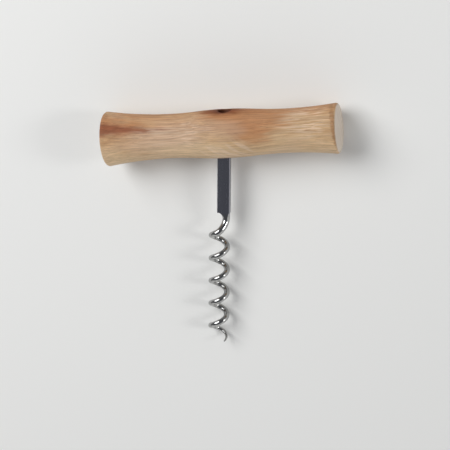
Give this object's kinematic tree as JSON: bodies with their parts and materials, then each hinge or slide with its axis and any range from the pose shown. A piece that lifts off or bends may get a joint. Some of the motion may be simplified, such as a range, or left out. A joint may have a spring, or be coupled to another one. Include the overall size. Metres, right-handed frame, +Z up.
{
  "type": "corkscrew",
  "caption": "T-handled corkscrew: a turned, waisted wooden cross handle on a flat steel shank that runs into a right-hand wire worm with a ground point.",
  "frame": {"origin": "centre of the bottom of the whole tool's box, on the surface that it lies on", "axes": "-Y down the shank to the worm's point, +X across it to the handle's right end, +Z up from the surface, towards the side that the picture shows"},
  "size_m": [0.1024, 0.1096, 0.0232],
  "materials": {
    "handle_wood": "turned light hardwood, sanded, thin matt finish",
    "plated_steel": "bright nickel-plated steel",
    "washer_steel": "plain dull steel"
  },
  "bodies": {
    "root": {"handle": "handle_wood", "screw": "plated_steel", "tang_washer": "washer_steel"}
  },
  "joints": []
}
